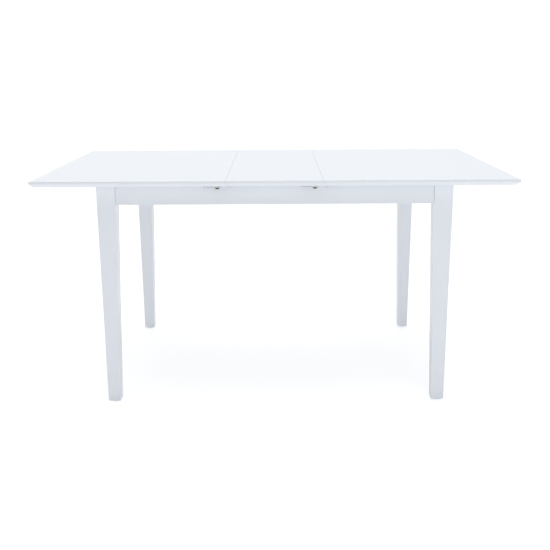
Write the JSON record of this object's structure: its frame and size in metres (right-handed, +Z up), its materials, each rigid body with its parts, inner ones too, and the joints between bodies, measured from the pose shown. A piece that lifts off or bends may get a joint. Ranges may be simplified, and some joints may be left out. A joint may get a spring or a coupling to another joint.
{
  "type": "extendable dining table",
  "caption": "White rectangular dining table with straight tapered legs, a plain apron and a top that parts in the middle for a folding leaf.",
  "frame": {"origin": "on the floor under the middle of the top", "axes": "+X along the table to the right, +Y across it to the back, +Z up"},
  "size_m": [1.5, 0.9, 0.74],
  "materials": {
    "white_lacquer": "sprayed cool-white lacquer on board and solid wood, satin",
    "beech": "bare planed beech with a thin clear seal",
    "dark_bronze": "dark bronzed steel, worn towards brass on the edges",
    "hinge_brass": "turned brass, lightly tarnished",
    "zinc_steel": "bright zinc-plated pressed and turned steel",
    "glide_felt": "grey moulded nylon with a felt face"
  },
  "bodies": {
    "frame": {"leg_front_left": "white_lacquer", "leg_front_right": "white_lacquer", "leg_back_left": "white_lacquer", "leg_back_right": "white_lacquer", "foot_glide_front_left": "glide_felt", "foot_glide_front_right": "glide_felt", "foot_glide_back_left": "glide_felt", "foot_glide_back_right": "glide_felt", "corner_bracket_front_left": "zinc_steel", "corner_bracket_front_right": "zinc_steel", "corner_bracket_back_left": "zinc_steel", "corner_bracket_back_right": "zinc_steel", "hanger_bolt_front_left": "zinc_steel", "hanger_bolt_front_right": "zinc_steel", "hanger_bolt_back_left": "zinc_steel", "hanger_bolt_back_right": "zinc_steel", "hanger_nut_front_left": "zinc_steel", "hanger_nut_front_right": "zinc_steel", "hanger_nut_back_left": "zinc_steel", "hanger_nut_back_right": "zinc_steel", "front_apron": "white_lacquer", "back_apron": "white_lacquer", "left_apron": "white_lacquer", "right_apron": "white_lacquer", "front_guide_rail": "beech", "back_guide_rail": "beech", "stop_screw_front_left": "zinc_steel", "stop_screw_front_right": "zinc_steel", "stop_screw_back_left": "zinc_steel", "stop_screw_back_right": "zinc_steel", "left_cross_bearer": "beech", "right_cross_bearer": "beech"},
    "top_left": {"left_top_half": "white_lacquer", "runner_front_left": "beech", "runner_back_left": "beech", "leaf_rest_left_front": "beech", "leaf_rest_left_back": "beech", "lock_base_front_left": "zinc_steel", "lock_base_back_left": "zinc_steel"},
    "top_right": {"right_top_half": "white_lacquer", "runner_front_right": "beech", "runner_back_right": "beech", "leaf_rest_right_front": "beech", "leaf_rest_right_back": "beech", "keeper_front_right": "zinc_steel", "keeper_back_right": "zinc_steel"},
    "leaf_front": {"leaf_front_panel": "white_lacquer", "hinge_barrel_front_left": "hinge_brass", "hinge_barrel_front_right": "hinge_brass", "lock_base_front_leaf": "zinc_steel", "keeper_front_leaf": "zinc_steel"},
    "leaf_back": {"leaf_back_panel": "white_lacquer", "hinge_barrel_back_left": "hinge_brass", "hinge_barrel_back_right": "hinge_brass", "lock_base_back_leaf": "zinc_steel", "keeper_back_leaf": "zinc_steel"},
    "lever_front_left": {"lock_lever_front_left": "dark_bronze"},
    "lever_back_left": {"lock_lever_back_left": "dark_bronze"},
    "lever_front_leaf": {"lock_lever_front_leaf": "dark_bronze"},
    "lever_back_leaf": {"lock_lever_back_leaf": "dark_bronze"}
  },
  "joints": [
    {"name": "left_half_slide", "type": "slide", "parent": "frame", "child": "top_left", "axis": [-1, 0, 0], "range_m": [0, 0.04]},
    {"name": "right_half_slide", "type": "slide", "parent": "frame", "child": "top_right", "axis": [1, 0, 0], "range_m": [0, 0.04]},
    {"name": "leaf_front_fold", "type": "hinge", "parent": "frame", "child": "leaf_front", "pos_m": [0, 0, 0.7405], "axis": [-1, 0, 0], "range_deg": [0, 90]},
    {"name": "leaf_back_fold", "type": "hinge", "parent": "frame", "child": "leaf_back", "pos_m": [0, 0, 0.7405], "axis": [1, 0, 0], "range_deg": [0, 90]},
    {"name": "lock_front_left_turn", "type": "hinge", "parent": "top_left", "child": "lever_front_left", "pos_m": [-0.176, -0.422, 0.718], "axis": [0, 0, 1], "range_deg": [0, 180]},
    {"name": "lock_back_left_turn", "type": "hinge", "parent": "top_left", "child": "lever_back_left", "pos_m": [-0.176, 0.422, 0.718], "axis": [0, 0, -1], "range_deg": [0, 180]},
    {"name": "lock_front_leaf_turn", "type": "hinge", "parent": "leaf_front", "child": "lever_front_leaf", "pos_m": [0.124, -0.422, 0.718], "axis": [0, 0, 1], "range_deg": [0, 180]},
    {"name": "lock_back_leaf_turn", "type": "hinge", "parent": "leaf_back", "child": "lever_back_leaf", "pos_m": [0.124, 0.422, 0.718], "axis": [0, 0, -1], "range_deg": [0, 180]}
  ]
}
